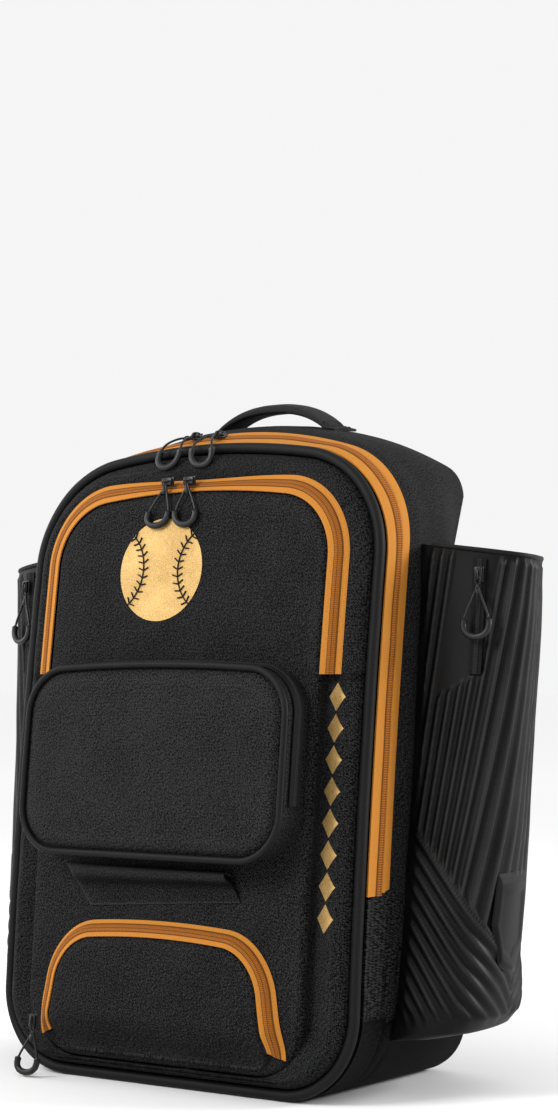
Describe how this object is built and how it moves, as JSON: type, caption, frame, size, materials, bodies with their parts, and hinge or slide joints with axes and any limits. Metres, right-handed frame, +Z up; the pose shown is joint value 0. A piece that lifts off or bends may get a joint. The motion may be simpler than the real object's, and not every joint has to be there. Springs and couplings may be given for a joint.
{
  "type": "baseball bat backpack",
  "caption": "Upright backpack with a wide-opening main compartment, front pockets and an open-topped ribbed sleeve on each side for carrying bats.",
  "frame": {"origin": "on the floor under the middle of the flat base, between the front face and the back", "axes": "+Z up, -Y out of the front face with its pockets, +Y towards the wearer's back, +X to the right of someone facing the bag's front"},
  "size_m": [0.5418, 0.3056, 0.5694],
  "materials": {
    "ballistic_cloth": "matt heavy woven polyester",
    "ribbed_cloth": "matt moulded ribs on cloth",
    "zip_tape": "orange woven tape with a nylon coil",
    "black_tape": "black woven tape",
    "back_mesh": "black spacer mesh",
    "slider": "black enamel",
    "pull": "moulded over cord",
    "buckle": "moulded acetal"
  },
  "bodies": {
    "root": {"main_shell": "ballistic_cloth", "front_panel": "ballistic_cloth", "front_piping": "ballistic_cloth", "front_pocket": "ballistic_cloth", "brow_pocket": "ballistic_cloth", "low_pocket": "ballistic_cloth", "front_band": "ballistic_cloth", "main_zip": "zip_tape", "upper_pocket_zip": "zip_tape", "low_pocket_zip": "zip_tape", "brow_pocket_piping": "black_tape", "brow_pocket_zip": "black_tape", "sleeve_right": "ribbed_cloth", "sleeve_left": "ribbed_cloth", "sleeve_zip_right": "black_tape", "sleeve_zip_left": "black_tape", "sleeve_guard_right": "ribbed_cloth", "sleeve_guard_left": "ribbed_cloth", "haul_handle": "black_tape", "back_pad_right": "back_mesh", "back_pad_left": "back_mesh", "shoulder_strap_right": "back_mesh", "shoulder_strap_left": "back_mesh", "strap_buckle_right": "buckle", "strap_buckle_left": "buckle", "strap_webbing_right": "black_tape", "strap_webbing_left": "black_tape", "slider_main_left": "slider", "slider_main_right": "slider", "slider_upper_left": "slider", "slider_upper_right": "slider", "slider_low": "slider", "slider_sleeve_right": "slider", "slider_sleeve_left": "slider", "pull_main_left": "pull", "pull_main_right": "pull", "pull_upper_left": "pull", "pull_upper_right": "pull", "pull_low": "pull", "pull_sleeve_right": "pull", "pull_sleeve_left": "pull"}
  },
  "joints": []
}
